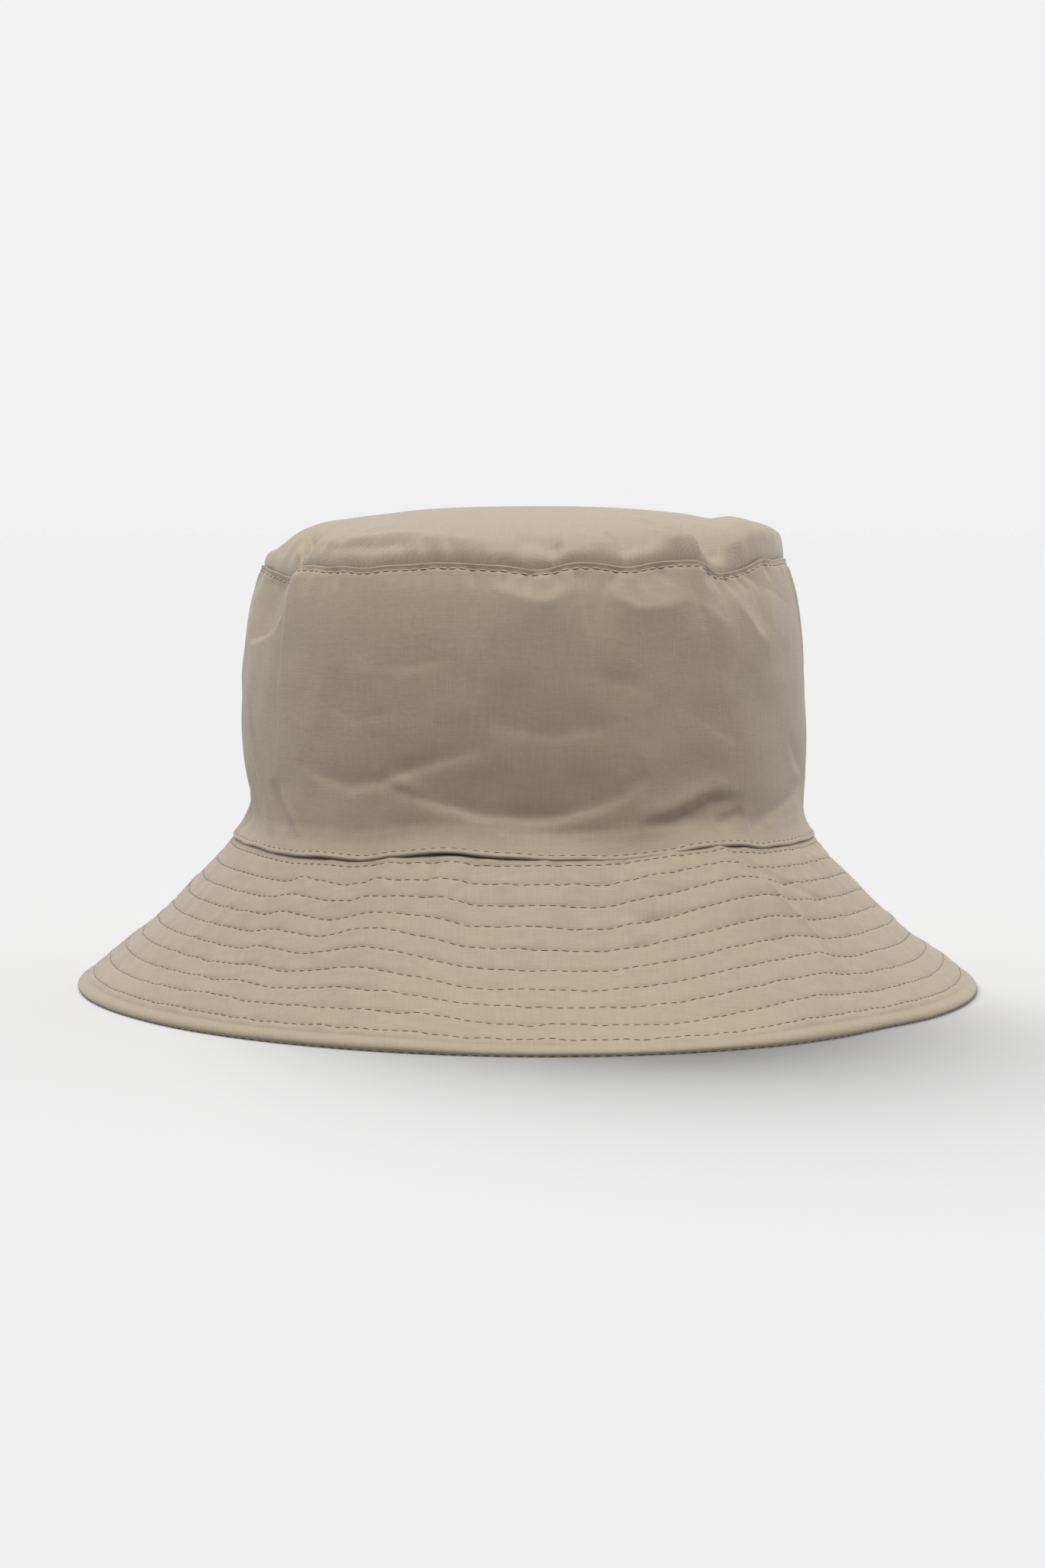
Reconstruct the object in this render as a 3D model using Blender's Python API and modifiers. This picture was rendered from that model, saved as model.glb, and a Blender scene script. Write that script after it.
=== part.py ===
"""Bucket hat with a soft oval crown and a wide brim sewn with ten rows of stitching.

The row frame is in metres with +Z up. The origin is on the table under the middle of the hat, and the
front of the hat faces -Y. Every cloth layer is turned as a round shell, stretched into the oval of a
head, and given its own thickness, with a small gap to the layer that it lies against.
"""

import math

import bpy
from mathutils import Matrix, Vector

MM = 0.001

# Plan: every width is half of the hat's width along X, and its length along Y is this much more.
PLAN_RATIO = 1.04
PLAN_STEPS = 40

# Crown and brim, as the outer surface of the shell
BRIM_HALF_WIDTH = 151.2 * MM
HEAD_SEAM_HALF_WIDTH = 97.9 * MM
HEAD_SEAM_HEIGHT = 50.0 * MM
LAP_FLARE = 2.3 * MM
LAP_RISE = 3.0 * MM
CROWN_WAIST = (93.6 * MM, 58.0 * MM)
CROWN_BULGE = (94.9 * MM, 84.0 * MM)
CROWN_UPPER = (93.0 * MM, 118.0 * MM)
CROWN_SHOULDER = (91.0 * MM, 130.0 * MM)
TIP_SEAM_HALF_WIDTH = 87.7 * MM
TIP_SEAM_HEIGHT = 141.6 * MM
TIP_HALF_WIDTH = TIP_SEAM_HALF_WIDTH - 1.1 * MM
TIP_BASE = TIP_SEAM_HEIGHT + 0.6 * MM
TIP_RISE = 18.3 * MM
TIP_ROUNDNESS = 2.6
TIP_RINGS = 6
BRIM_EDGE_ROLL = 2.4 * MM
BRIM_FLAT = 1.8 * MM
BRIM_HOLLOW = 1.4 * MM
BRIM_PARTS = 4
EDGE_NOSE = 0.4 * MM
EDGE_UNDERCUT = 1.1 * MM
HEM_WIDTH = 7.0 * MM
HEM_TURN = 1.9 * MM
HEM_LIFT = 1.5 * MM

# Cloth layers
SHELL_THICKNESS = 0.5 * MM
STIFFENER_THICKNESS = 0.5 * MM
LINING_THICKNESS = 0.4 * MM
SWEATBAND_THICKNESS = 1.0 * MM
LAYER_GAP = 0.3 * MM
SEAM_ALLOWANCE = 10.0 * MM
TIP_SEAM_START = 0.8 * MM
BRIM_ALLOWANCE = 12.0 * MM
SEAM_GAP_ANGLE = math.radians(0.12)
SWEATBAND_HEIGHT = 28.0 * MM
LINING_TOP_GAP = 1.0 * MM
LINING_HEM = 0.5 * MM

# Sewing
THREAD_RADIUS = 0.25 * MM
BRIM_ROWS = 10
FIRST_ROW = 2.6 * MM
ROW_PITCH = 7.05 * MM
EDGE_STITCH_INSET = 1.8 * MM

# Labels
SIZE_LABEL_WIDTH = 42.0 * MM
SIZE_LABEL_HEIGHT = 16.0 * MM
SIZE_LABEL_LIFT = 2.0 * MM
LABEL_THICKNESS = 0.4 * MM
CARE_LABEL_WIDTH = 22.0 * MM
CARE_LABEL_LENGTH = 34.0 * MM
CARE_LABEL_LIFT = 1.0 * MM

FRONT = math.pi
BACK = 0.0
FULL_TURN = 2 * math.pi


def clear_scene():
    for obj in list(bpy.data.objects):
        bpy.data.objects.remove(obj, do_unlink=True)


def new_collection(name):
    collection = bpy.data.collections.new(name)
    bpy.context.scene.collection.children.link(collection)
    return collection


def cloth_material(name, colour, roughness):
    material = bpy.data.materials.new(name)
    material.use_nodes = True
    shader = material.node_tree.nodes["Principled BSDF"]
    shader.inputs["Base Color"].default_value = (*colour, 1.0)
    shader.inputs["Roughness"].default_value = roughness
    shader.inputs["Metallic"].default_value = 0.0
    return material


# ---- Profiles: lists of (half width, height) that run from the top of the hat, over its outer side ----


def outward(a, b):
    """The outward normal of the stretch from a to b."""
    along = (b - a).normalized()
    return Vector((-along.y, along.x))


def inset(profile, depth):
    """The profile moved inwards by depth, with mitred corners."""
    moved = []
    for i, point in enumerate(profile):
        before = outward(profile[max(i - 1, 0)], profile[max(i, 1)])
        after = outward(profile[min(i, len(profile) - 2)], profile[min(i + 1, len(profile) - 1)])
        moved.append(point - (before + after) * depth / (1 + before.dot(after)))
    return [Vector((max(p.x, 0.0), p.y)) for p in moved]


def length_of(profile):
    return sum((b - a).length for a, b in zip(profile, profile[1:]))


def point_at(profile, distance):
    """The point and the outward normal this far along the profile."""
    left = distance
    for a, b in zip(profile, profile[1:]):
        step = (b - a).length
        if left <= step:
            return a.lerp(b, left / step), outward(a, b)
        left -= step
    return profile[-1].copy(), outward(profile[-2], profile[-1])


def stretch(profile, start, end):
    """The part of the profile between two distances along it."""
    inner, passed = [], 0.0
    for a, b in zip(profile, profile[1:]):
        passed += (b - a).length
        if start + 0.1 * MM < passed < end - 0.1 * MM:
            inner.append(b.copy())
    return [point_at(profile, start)[0], *inner, point_at(profile, end)[0]]


def tip_profile():
    """The domed top panel, from its middle down to its seam."""
    points = []
    for i in range(TIP_RINGS + 1):
        turn = math.radians(90) * (i / TIP_RINGS) ** 0.8
        share = math.sin(turn) ** (2 / TIP_ROUNDNESS)
        rise = math.cos(turn) ** (2 / TIP_ROUNDNESS)
        points.append(Vector((share * TIP_HALF_WIDTH, TIP_BASE + rise * TIP_RISE)))
    return points


def side_profile():
    """The crown's side panel, from the tip seam down to the folded hem that laps over the brim."""
    lap = Vector((HEAD_SEAM_HALF_WIDTH - LAP_FLARE, HEAD_SEAM_HEIGHT + LAP_RISE))
    return [
        Vector((TIP_SEAM_HALF_WIDTH, TIP_SEAM_HEIGHT)),
        Vector(CROWN_SHOULDER),
        Vector(CROWN_UPPER),
        Vector(CROWN_BULGE),
        Vector(CROWN_WAIST),
        lap,
        Vector((HEAD_SEAM_HALF_WIDTH, HEAD_SEAM_HEIGHT)),
    ]


def brim_slope(start):
    """The brim's top surface, from under the crown's hem to where its edge rolls over."""
    end = Vector((BRIM_HALF_WIDTH - BRIM_EDGE_ROLL, BRIM_EDGE_ROLL * 1.4))
    points = []
    for i in range(1, BRIM_PARTS + 1):
        share = i / BRIM_PARTS
        sag = BRIM_HOLLOW * math.sin(math.pi * share)
        points.append(start.lerp(end, share) - Vector((sag, sag)))
    return points


def brim_edge(slope_end):
    """The roll over the brim's edge, the narrow flat that it stands on, and the hem turned under."""
    roll = BRIM_EDGE_ROLL
    flat_end = BRIM_HALF_WIDTH - EDGE_UNDERCUT - BRIM_FLAT
    hem_start = Vector((flat_end - HEM_TURN, HEM_LIFT))
    slope = (slope_end - Vector((HEAD_SEAM_HALF_WIDTH, HEAD_SEAM_HEIGHT))).normalized()
    return [
        Vector((BRIM_HALF_WIDTH - EDGE_NOSE, roll * 0.68)),
        Vector((BRIM_HALF_WIDTH, roll * 0.36)),
        Vector((BRIM_HALF_WIDTH - EDGE_NOSE, roll * 0.10)),
        Vector((BRIM_HALF_WIDTH - EDGE_UNDERCUT, 0.0)),
        Vector((flat_end, 0.0)),
        hem_start,
        hem_start - slope * HEM_WIDTH,
    ]


# ---- Solids ----


def turned_surface(name, profile, start, sweep):
    """An open surface: the profile turned about Z from the angle start, then stretched into the oval plan."""
    mesh = bpy.data.meshes.new(name)
    edges = [(i, i + 1) for i in range(len(profile) - 1)]
    mesh.from_pydata([(p.x, 0.0, p.y) for p in profile], edges, [])
    obj = bpy.data.objects.new(name, mesh)
    hat.objects.link(obj)
    screw = obj.modifiers.new("turn", "SCREW")
    screw.angle = sweep
    screw.steps = screw.render_steps = max(3, round(PLAN_STEPS * sweep / FULL_TURN))
    screw.use_merge_vertices = True
    screw.merge_threshold = 0.00002
    bpy.context.view_layer.update()
    evaluated = obj.evaluated_get(bpy.context.evaluated_depsgraph_get())
    turned = bpy.data.meshes.new_from_object(evaluated)
    turned.transform(Matrix.Rotation(start, 4, "Z"))
    turned.transform(Matrix.Diagonal((1.0, PLAN_RATIO, 1.0, 1.0)))
    turned.shade_smooth()
    obj.modifiers.clear()
    obj.data = turned
    bpy.data.meshes.remove(mesh)
    return obj


def cloth_panel(name, profile, thickness, material, start=BACK, sweep=FULL_TURN):
    """A layer of cloth whose outer face is the turned profile."""
    obj = turned_surface(name, profile, start, sweep)
    obj.data.materials.append(material)
    solidify = obj.modifiers.new("cloth_thickness", "SOLIDIFY")
    solidify.thickness = thickness
    solidify.offset = -1.0
    solidify.use_even_offset = True
    return obj


def half_panels(name, profile, thickness, material):
    """A front and a back panel that meet at seams on the hat's left and right."""
    for side, start in (("front", FRONT), ("back", BACK)):
        sweep = math.pi - 2 * SEAM_GAP_ANGLE
        cloth_panel(f"{name}_{side}", profile, thickness, material, start + SEAM_GAP_ANGLE, sweep)


def stitching(name, profile, distance, material, side=1.0):
    """One row of thread round the hat, lying on the outer (side 1) or inner (side -1) face of the profile."""
    point, normal = point_at(profile, distance)
    centre = point + normal * side * (LAYER_GAP + THREAD_RADIUS)
    bpy.ops.mesh.primitive_torus_add(
        major_radius=centre.x,
        minor_radius=THREAD_RADIUS,
        major_segments=PLAN_STEPS,
        minor_segments=3,
        location=(0.0, 0.0, centre.y),
    )
    obj = bpy.context.object
    obj.name = obj.data.name = name
    obj.scale.y = PLAN_RATIO
    obj.data.materials.append(material)
    for collection in list(obj.users_collection):
        collection.objects.unlink(obj)
    hat.objects.link(obj)
    return obj


def make_crown():
    """The shell of the crown: its tip, with an allowance turned down inside, and two side panels."""
    side = side_profile()
    inside = inset(side, SHELL_THICKNESS + LAYER_GAP)
    allowance = stretch(inside, TIP_SEAM_START, TIP_SEAM_START + SEAM_ALLOWANCE)
    cloth_panel("crown_tip", tip_profile()[:-1] + allowance, SHELL_THICKNESS, shell)
    half_panels("crown_side", side, SHELL_THICKNESS, shell)
    stitching("tip_seam_stitching", side, EDGE_STITCH_INSET, thread)
    stitching("crown_hem_stitching", side, length_of(side) - EDGE_STITCH_INSET, olive)


def brim_profile():
    """The brim's top layer, from its allowance inside the crown, out over the edge, to its turned-under hem."""
    inner = inset(side_profile(), SHELL_THICKNESS + LAYER_GAP)
    allowance = stretch(inner, length_of(inner) - BRIM_ALLOWANCE, length_of(inner))
    slope = brim_slope(allowance[-1])
    return allowance + slope, brim_edge(slope[-1])


def make_brim():
    """Top layer, stiffener and underside, sewn together by rows of stitching that run round the brim."""
    over, edge = brim_profile()
    half_panels("brim_top", over + edge, SHELL_THICKNESS, shell)
    stiffener_depth = SHELL_THICKNESS + LAYER_GAP
    under_depth = stiffener_depth + STIFFENER_THICKNESS + LAYER_GAP
    inner = inset(over, stiffener_depth)
    between = stretch(inner, BRIM_ALLOWANCE, length_of(inner))
    half_panels("brim_stiffener", between, STIFFENER_THICKNESS, stiffener)
    under = inset(over, under_depth)
    hem_lap = HEM_WIDTH + BRIM_FLAT + HEM_TURN
    half_panels("brim_under", stretch(under, 0.0, length_of(under) - hem_lap), SHELL_THICKNESS, underside)
    for row in range(BRIM_ROWS):
        distance = BRIM_ALLOWANCE + FIRST_ROW + row * ROW_PITCH
        stitching(f"brim_stitch_row_{row + 1:02d}", over, distance, olive)
    stitching("brim_edge_stitching", edge, length_of(edge) - EDGE_STITCH_INSET, olive)


def make_inside():
    """The lining, the sweatband and the labels sewn to it. Returns the sweatband's inner profile."""
    side = side_profile()[:-2] + [Vector((CROWN_WAIST[0], HEAD_SEAM_HEIGHT))]
    lining_depth = 4 * LAYER_GAP + 3 * SHELL_THICKNESS + STIFFENER_THICKNESS
    wall = inset(side, lining_depth)
    wall_lining = stretch(wall, LINING_TOP_GAP, length_of(wall) - LINING_HEM)
    half_panels("side_lining", wall_lining, LINING_THICKNESS, lining)
    tip_lining_depth = lining_depth - LAYER_GAP
    ceiling = [p for p in inset(tip_profile(), tip_lining_depth) if p.y > wall[0].y]
    cloth_panel("tip_lining", ceiling, LINING_THICKNESS, lining)
    band = inset(side, lining_depth + LINING_THICKNESS + LAYER_GAP)
    top = length_of(band) - SWEATBAND_HEIGHT
    band = stretch(band, top, length_of(band))
    start = math.radians(90) + SEAM_GAP_ANGLE
    sweep = FULL_TURN - 2 * SEAM_GAP_ANGLE
    cloth_panel("sweatband", band, SWEATBAND_THICKNESS, twill, start, sweep)
    inner = inset(band, SWEATBAND_THICKNESS)
    stitching("sweatband_stitching", inner, SWEATBAND_HEIGHT - EDGE_STITCH_INSET, thread, side=-1.0)
    return inner


def make_labels(inner):
    """A woven size label sewn flat on the sweatband at the back, and a care label that hangs at the left."""
    half_width = min(point.x for point in inner)
    face = inset(inner, LAYER_GAP)
    margin = (SWEATBAND_HEIGHT - SIZE_LABEL_HEIGHT) / 2
    angle = SIZE_LABEL_WIDTH / (half_width * PLAN_RATIO)
    start = margin - SIZE_LABEL_LIFT
    size_label = stretch(face, start, start + SIZE_LABEL_HEIGHT)
    cloth_panel("size_label", size_label, LABEL_THICKNESS, label, math.radians(90) - angle / 2, angle)
    reach = half_width * (1 - math.cos(CARE_LABEL_WIDTH / 2 / half_width)) + 2 * LAYER_GAP + LABEL_THICKNESS
    bpy.ops.mesh.primitive_cube_add(size=1.0)
    care = bpy.context.object
    care.name = care.data.name = "care_label"
    care.data.transform(Matrix.Diagonal((LABEL_THICKNESS, CARE_LABEL_WIDTH, CARE_LABEL_LENGTH, 1.0)))
    care.data.transform(Matrix.Translation((0.0, 0.0, -CARE_LABEL_LENGTH / 2)))
    care.location = (-(half_width - reach), 0.0, inner[0].y + CARE_LABEL_LIFT)
    care.data.materials.append(label)
    for collection in list(care.users_collection):
        collection.objects.unlink(care)
    hat.objects.link(care)


clear_scene()
hat = new_collection("bucket_hat")
shell = cloth_material("shell_fabric", (0.36, 0.30, 0.22), 0.62)
underside = cloth_material("underside_fabric", (0.34, 0.285, 0.21), 0.66)
stiffener = cloth_material("stiffener_canvas", (0.72, 0.70, 0.64), 0.9)
lining = cloth_material("lining_fabric", (0.31, 0.26, 0.20), 0.7)
twill = cloth_material("sweatband_twill", (0.33, 0.275, 0.21), 0.85)
thread = cloth_material("seam_thread", (0.40, 0.33, 0.23), 0.55)
olive = cloth_material("brim_thread", (0.17, 0.13, 0.08), 0.55)
label = cloth_material("label_satin", (0.78, 0.76, 0.70), 0.5)
make_crown()
make_brim()
make_labels(make_inside())
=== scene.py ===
"""The looks of the bucket hat: wrinkled cloth panels, stitches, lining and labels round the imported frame."""
import math

import bpy
import numpy as np
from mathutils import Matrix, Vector


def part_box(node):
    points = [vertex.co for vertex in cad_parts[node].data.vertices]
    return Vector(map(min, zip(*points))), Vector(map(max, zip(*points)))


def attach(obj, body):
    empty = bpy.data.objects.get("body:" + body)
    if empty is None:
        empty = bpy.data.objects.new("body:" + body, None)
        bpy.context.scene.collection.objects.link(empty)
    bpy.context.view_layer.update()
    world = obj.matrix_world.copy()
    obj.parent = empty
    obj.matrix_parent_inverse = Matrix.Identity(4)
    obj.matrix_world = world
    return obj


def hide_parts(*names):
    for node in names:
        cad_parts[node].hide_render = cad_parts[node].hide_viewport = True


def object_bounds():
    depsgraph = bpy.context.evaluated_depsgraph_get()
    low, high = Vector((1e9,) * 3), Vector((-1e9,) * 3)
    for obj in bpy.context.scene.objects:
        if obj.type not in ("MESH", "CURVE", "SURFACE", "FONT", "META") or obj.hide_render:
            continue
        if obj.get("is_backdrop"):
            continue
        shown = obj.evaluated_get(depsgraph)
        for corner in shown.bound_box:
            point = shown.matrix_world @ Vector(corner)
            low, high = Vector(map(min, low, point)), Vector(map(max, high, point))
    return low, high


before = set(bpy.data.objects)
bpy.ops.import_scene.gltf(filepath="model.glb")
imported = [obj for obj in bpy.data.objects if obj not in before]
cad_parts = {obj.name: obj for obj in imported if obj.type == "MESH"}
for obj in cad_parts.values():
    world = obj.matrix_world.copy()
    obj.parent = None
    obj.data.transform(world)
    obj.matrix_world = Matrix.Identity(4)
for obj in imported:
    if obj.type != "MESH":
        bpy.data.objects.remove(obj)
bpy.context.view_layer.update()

# Lengths are in millimetres until a mesh is made. Angles are in degrees about +Z: 0 is +X, 270 is the front.
METRE = 0.001
PLAN = 1.04
COLUMNS = 720
COLUMNS_PER_DEGREE = 2
CROWN_RADIUS = 95
RIM = 86.6
SEAM_RADIUS = 87.6
SEAM_Z = 142.2
SIDE_BOTTOM, SIDE_TOP = 49.9, 141.6
TIP_RISE = 18.3
MM_PER_DEGREE = 95.0 * math.pi / 180
ROW_FIRST, ROW_PITCH = 2.6, 7.05
CLOTH = 0.5
ROWS = [ROW_FIRST + ROW_PITCH * k for k in range(10)]


# ---- curves
def pchip(x, xs, ys):
    """Smooth curve through points, without overshoot."""
    xs, ys = np.asarray(xs, float), np.asarray(ys, float)
    step = np.diff(xs)
    slope = np.diff(ys) / step
    m = np.zeros(len(xs))
    same = slope[:-1] * slope[1:] > 0
    with np.errstate(divide="ignore", invalid="ignore"):
        mean = 2 * slope[:-1] * slope[1:] / (slope[:-1] + slope[1:])
    m[1:-1] = np.where(same, mean, 0.0)
    m[0], m[-1] = slope[0], slope[-1]
    i = np.clip(np.searchsorted(xs, x) - 1, 0, len(step) - 1)
    t = (x - xs[i]) / step[i]
    h00 = (1 + 2 * t) * (1 - t) ** 2
    h10 = t * (1 - t) ** 2
    h01 = t * t * (3 - 2 * t)
    h11 = t * t * (t - 1)
    return h00 * ys[i] + h10 * step[i] * m[i] + h01 * ys[i + 1] + h11 * step[i] * m[i + 1]


def round_curve(theta, table):
    """Smooth closed curve: table is (angle, value) pairs over one turn."""
    table = sorted((a % 360, v) for a, v in table)
    xs = [a for a, _ in table]
    ys = [v for _, v in table]
    n = len(xs)
    xs = [xs[i] - 360 for i in range(n - 2, n)] + xs + [xs[i] + 360 for i in range(2)]
    ys = ys[-2:] + ys + ys[:2]
    return pchip(np.asarray(theta) % 360, xs, ys)


def ripple(theta, along, waves, amplitude, wave_low, wave_high, seed):
    """Soft random waves that close round the hat. Wavelengths are in millimetres."""
    gen = np.random.default_rng(seed)
    total = np.zeros(np.broadcast(theta, along).shape)
    for _ in range(waves):
        length = gen.uniform(wave_low, wave_high)
        turn = gen.uniform(0, 2 * math.pi)
        k = round(math.cos(turn) * 2 * math.pi * CROWN_RADIUS / length)
        q = math.sin(turn) * 2 * math.pi / length
        total += np.sin(np.radians(theta) * k + along * q + gen.uniform(0, 2 * math.pi))
    return total * amplitude / math.sqrt(waves / 2)


def bell(x, width):
    return np.exp(-((x / width) ** 2))


def from_angle(theta, middle):
    """Degrees from an angle, from -180 to 180, as one row."""
    return ((theta - middle + 180) % 360 - 180)[None, :]


# ---- folds
def near_line(u, v, points, wrap=None):
    """Distance from a line, signed by its side (left is positive), and the share of the way along it."""
    best = np.full(u.shape, 1e9)
    side = np.zeros(u.shape)
    share = np.zeros(u.shape)
    if wrap:
        u = (u - points[0][0] + wrap / 2) % wrap - wrap / 2 + points[0][0]
    lengths = [math.dist(a, b) for a, b in zip(points, points[1:])]
    passed = 0.0
    for (a, b), length in zip(zip(points, points[1:]), lengths):
        du, dv = (b[0] - a[0]) / length, (b[1] - a[1]) / length
        along = (u - a[0]) * du + (v - a[1]) * dv
        across = (v - a[1]) * du - (u - a[0]) * dv
        on = np.clip(along, 0, length)
        far = np.hypot(along - on, across)
        take = far < best
        best = np.where(take, far, best)
        side = np.where(take, np.where(across < 0, -1.0, 1.0), side)
        share = np.where(take, (passed + on) / sum(lengths), share)
        passed += length
    return best, side, share


def fold(u, v, points, height, width, kind="ridge", fade="both", wrap=None):
    """A fold along a line. A negative height turns it over.

    ridge is round,
        and crease is crisp. tuck and kink are sharp on the right side and run out on the left or right.
    step raises the left side and lowers the right one.
    """
    far, side, share = near_line(u, v, points, wrap)
    if kind == "ridge":
        shape = bell(far, width)
    elif kind == "crease":
        shape = np.exp(-(np.sqrt(far**2 + 0.36) - 0.6) / width)
    elif kind == "tuck":
        shape = 0.5 * (1 + np.tanh(side * far / 1.9 + 0.35)) * np.exp(-np.maximum(side * far, 0) / width)
    elif kind == "kink":
        soft = np.sqrt(far**2 + 0.5) - 0.7
        shape = np.where(side > 0, np.exp(-soft / width), np.exp(-soft / (2.6 * width)))
    else:
        shape = np.tanh(side * far / 0.75) * np.exp(-far / width)
    if fade == "both":
        strength = np.sin(math.pi * np.clip(share, 0.0, 1.0)) ** 0.6
    elif fade == "end":
        strength = np.cos(0.5 * math.pi * share) ** 0.8
    else:
        strength = 1.0
    return height * shape * strength


def dent(u, v, centre, size, height, lean=0.0, wrap=None):
    du, dv = u - centre[0], v - centre[1]
    if wrap:
        du = (du + wrap / 2) % wrap - wrap / 2
    c, s = math.cos(math.radians(lean)), math.sin(math.radians(lean))
    a, b = du * c + dv * s, dv * c - du * s
    return height * np.exp(-((a / size[0]) ** 2) - (b / size[1]) ** 2)


# ---- surfaces
def normals_of(grid):
    """Outward normals of a grid whose columns go round the hat and whose rows go down its outside."""
    along = np.gradient(grid, axis=0)
    across = np.roll(grid, -1, axis=1) - np.roll(grid, 1, axis=1)
    n = np.cross(along, across)
    return n / np.maximum(np.linalg.norm(n, axis=2, keepdims=True), 1e-9)


def spread(values, theta):
    return np.broadcast_to(np.asarray(values)[:, None], (len(values), len(theta)))


def place(r, z, theta):
    a = np.radians(theta)[None, :]
    return np.stack([r * np.cos(a), PLAN * r * np.sin(a), z + 0 * a], axis=2)


THETA = np.arange(COLUMNS) * 360 / COLUMNS

SEAM_HEIGHT = [(180, 141.2), (190, 141.4), (200, 139.8), (207, 138.4), (212.4, 137.9), (213.8, 141.9),
    (220, 142.3),
               (229, 142.3), (240, 142.8), (252, 144.2), (263, 143.5), (273.5, 142.2), (282, 144.4),
                   (292.5, 142.9),
               (302, 144.6), (308, 144.3), (315.5, 139.9), (320, 140.4), (333, 143.9), (346, 144.0),
                   (0, 143.0),
               (12, 141.2), (25, 143.4), (40, 142.0), (57, 144.0), (71, 141.4), (84, 143.4), (101, 143.8),
                   (114, 140.9),
               (128, 143.6), (146, 142.2), (160, 143.6), (170, 142.0)]
LIP_HEIGHT = [(180, 50.6), (192, 50.4), (206, 50.3), (219, 49.5), (228, 50.2), (238, 50.2), (245, 52.0),
    (256, 53.7),
              (265, 52.6), (281, 51.6), (289, 51.3), (300, 52.8), (309, 54.1), (315, 53.4), (324, 51.6),
                  (338, 51.2),
              (352, 50.6), (8, 50.2), (30, 52.4), (52, 50.6), (74, 52.8), (95, 50.4), (120, 52.6),
                  (140, 50.8), (160, 52.0)]
SIDE_CURVE = [(49.9, 97.5), (50.15, 97.95), (50.6, 98.1), (51.2, 97.75), (53.0, 96.5), (56.0, 95.2),
    (60.0, 94.4),
              (70.0, 94.5), (84.0, 95.0), (101.0, 94.6), (118.0, 93.2), (130.0, 91.2), (138.0, 88.9),
                  (141.6, 87.6)]


def seam_ring(theta):
    """Radius and height of the tip seam."""
    z = round_curve(theta, SEAM_HEIGHT) + ripple(theta, 0.0, 6, 0.16, 11, 22, 3)
    r = SEAM_RADIUS - 0.28 * np.maximum(0, SEAM_Z - z) + ripple(theta, 0.0, 5, 0.35, 30, 70, 4)
    return r, z


def lip_ring(theta):
    return round_curve(theta, LIP_HEIGHT) + ripple(theta, 0.0, 5, 0.10, 12, 30, 5)


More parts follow.
